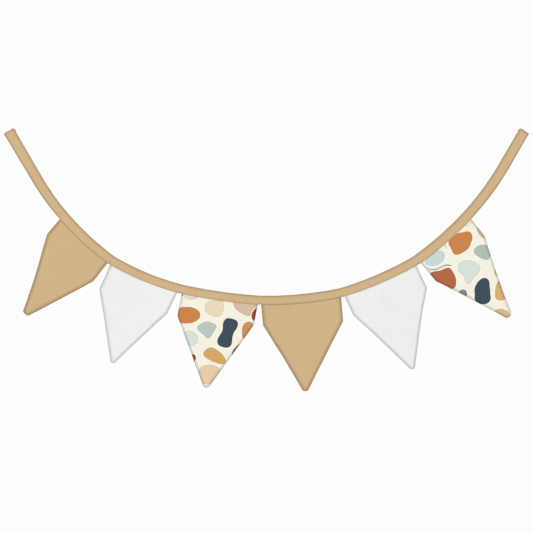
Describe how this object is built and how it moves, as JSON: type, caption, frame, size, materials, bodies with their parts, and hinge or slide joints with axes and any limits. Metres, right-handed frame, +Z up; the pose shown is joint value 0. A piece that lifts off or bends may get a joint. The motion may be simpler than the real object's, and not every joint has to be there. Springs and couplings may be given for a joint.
{
  "type": "fabric bunting",
  "caption": "Hung cloth bunting: turned cotton pennants with short straight shoulders and blunt points, plain and printed, sewn into a folded binding that sags between its two raised ends.",
  "frame": {"origin": "half way along the straight line between the two ends of the binding, where the bunting is held", "axes": "+X along that line to the right as seen from the front, +Y to the back, +Z up"},
  "size_m": [1.0495, 0.0139, 0.5266],
  "materials": {
    "tan_cotton": "matte plain-weave cotton, warm tan, with a matching sewing thread",
    "white_cotton": "matte plain-weave cotton, white",
    "printed_cotton": "matte plain-weave cotton, cream with a common pebble print in rust, navy, sage, mustard and blush"
  },
  "bodies": {
    "root": {"binding": "tan_cotton", "pennant_1_tan": "tan_cotton", "pennant_2_white": "white_cotton", "pennant_3_print": "printed_cotton", "pennant_4_tan": "tan_cotton", "pennant_5_white": "white_cotton", "pennant_6_print": "printed_cotton"}
  },
  "joints": []
}
